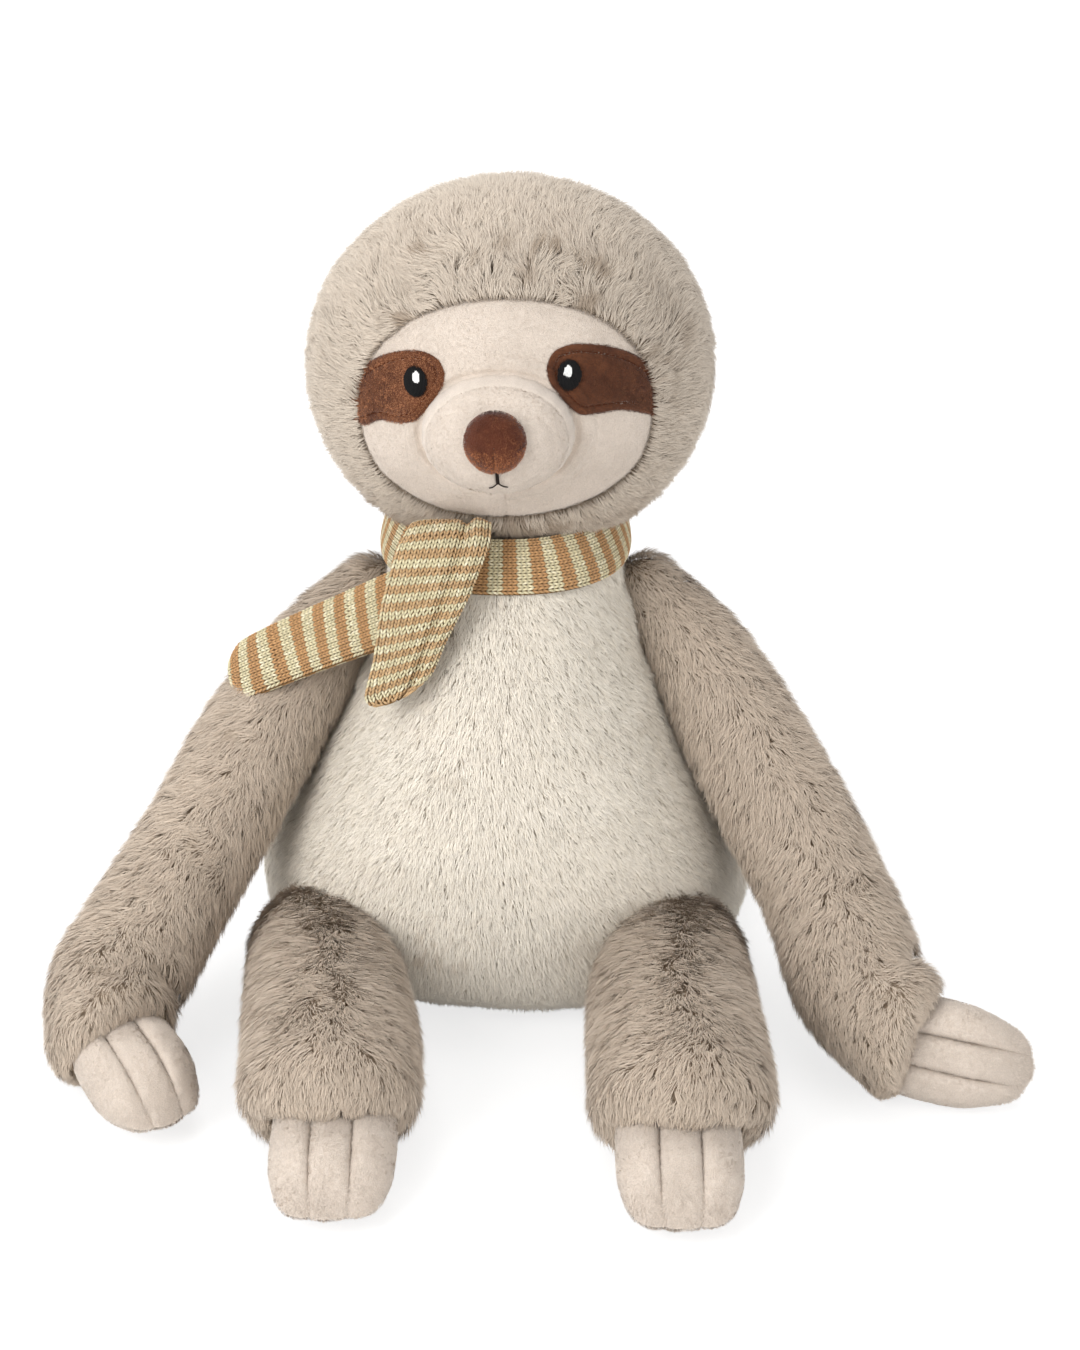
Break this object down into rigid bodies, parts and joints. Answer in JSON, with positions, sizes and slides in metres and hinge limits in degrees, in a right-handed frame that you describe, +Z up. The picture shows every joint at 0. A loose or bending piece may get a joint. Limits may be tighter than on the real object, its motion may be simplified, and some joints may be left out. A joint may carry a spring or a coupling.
{
  "type": "plush sloth",
  "caption": "Seated plush sloth with a fur hood round a velour face, long arms, three-clawed hands and feet, and a striped knitted scarf.",
  "frame": {"origin": "middle of the flat seat, on the surface that the toy sits on", "axes": "+Z up, the face looks along -Y, the toy's left hand is towards +X"},
  "size_m": [0.3235, 0.2945, 0.2794],
  "materials": {
    "taupe_fur": "matte",
    "hood_fur": "matte",
    "cream_fur": "matte",
    "velour": "matte",
    "brown_velour": "matte",
    "black_eye": "satin",
    "white_thread": "satin",
    "dark_thread": "matte",
    "striped_knit": "matte",
    "fibre_filling": "matte",
    "bean_cloth": "matte"
  },
  "bodies": {
    "torso": {"belly_panel": "cream_fur", "back_panel": "taupe_fur", "seat_panel": "cream_fur", "torso_stuffing": "fibre_filling", "bean_bag": "bean_cloth", "scarf_collar": "striped_knit", "scarf_side_tail": "striped_knit"},
    "scarf_tail": {"scarf_front_tail": "striped_knit"},
    "neck": {"neck_stuffing": "fibre_filling"},
    "head": {"head_hood": "hood_fur", "face_panel": "velour", "head_stuffing": "fibre_filling", "muzzle": "velour", "nose": "brown_velour", "mouth_stitch": "dark_thread", "right_eye_patch": "brown_velour", "left_eye_patch": "brown_velour", "right_eye": "black_eye", "left_eye": "black_eye", "right_eye_glint": "white_thread", "left_eye_glint": "white_thread"},
    "right_arm": {"right_arm_sleeve": "taupe_fur", "right_arm_stuffing": "fibre_filling"},
    "right_hand": {"right_hand_skin": "velour", "right_hand_stuffing": "fibre_filling"},
    "right_leg": {"right_leg_sleeve": "taupe_fur", "right_leg_stuffing": "fibre_filling"},
    "right_foot": {"right_foot_skin": "velour", "right_foot_stuffing": "fibre_filling"},
    "left_arm": {"left_arm_sleeve": "taupe_fur", "left_arm_stuffing": "fibre_filling"},
    "left_hand": {"left_hand_skin": "velour", "left_hand_stuffing": "fibre_filling"},
    "left_leg": {"left_leg_sleeve": "taupe_fur", "left_leg_stuffing": "fibre_filling"},
    "left_foot": {"left_foot_skin": "velour", "left_foot_stuffing": "fibre_filling"}
  },
  "joints": [
    {"name": "neck_turn", "type": "hinge", "parent": "torso", "child": "neck", "pos_m": [0, -0.003, 0.2155], "axis": [0, 0, 1], "range_deg": [-35, 35]},
    {"name": "head_nod", "type": "hinge", "parent": "neck", "child": "head", "pos_m": [0, -0.003, 0.2155], "axis": [1, 0, 0], "range_deg": [-12, 12]},
    {"name": "scarf_tail_lift", "type": "hinge", "parent": "torso", "child": "scarf_tail", "pos_m": [-0.0182, -0.0559, 0.168], "axis": [-1, 0, 0], "range_deg": [0, 60]},
    {"name": "right_shoulder_swing", "type": "hinge", "parent": "torso", "child": "right_arm", "pos_m": [-0.05172, -0.01, 0.14112], "axis": [-1, 0, 0], "range_deg": [0, 80], "deforming": ["scarf_side_tail"]},
    {"name": "left_shoulder_swing", "type": "hinge", "parent": "torso", "child": "left_arm", "pos_m": [0.05172, -0.01, 0.14112], "axis": [-1, 0, 0], "range_deg": [0, 80]},
    {"name": "right_hip_lift", "type": "hinge", "parent": "torso", "child": "right_leg", "pos_m": [-0.062, -0.08507, 0.0275], "axis": [-1, 0, 0], "range_deg": [0, 45]},
    {"name": "left_hip_lift", "type": "hinge", "parent": "torso", "child": "left_leg", "pos_m": [0.056, -0.08982, 0.0275], "axis": [-1, 0, 0], "range_deg": [0, 45]},
    {"name": "right_wrist_bend", "type": "hinge", "parent": "right_arm", "child": "right_hand", "pos_m": [-0.1268, -0.1312, 0.02117], "axis": [-0.8579, -0.5045, -0.0976], "range_deg": [0, 35]},
    {"name": "left_wrist_bend", "type": "hinge", "parent": "left_arm", "child": "left_hand", "pos_m": [0.13026, -0.1282, 0.02314], "axis": [-0.2037, -0.4022, -0.8926], "range_deg": [-20, 20]},
    {"name": "right_ankle_bend", "type": "hinge", "parent": "right_leg", "child": "right_foot", "pos_m": [-0.055, -0.16708, 0.022], "axis": [-1, 0, 0], "range_deg": [0, 30]},
    {"name": "left_ankle_bend", "type": "hinge", "parent": "left_leg", "child": "left_foot", "pos_m": [0.0575, -0.17182, 0.022], "axis": [-1, 0, 0], "range_deg": [0, 30]}
  ]
}
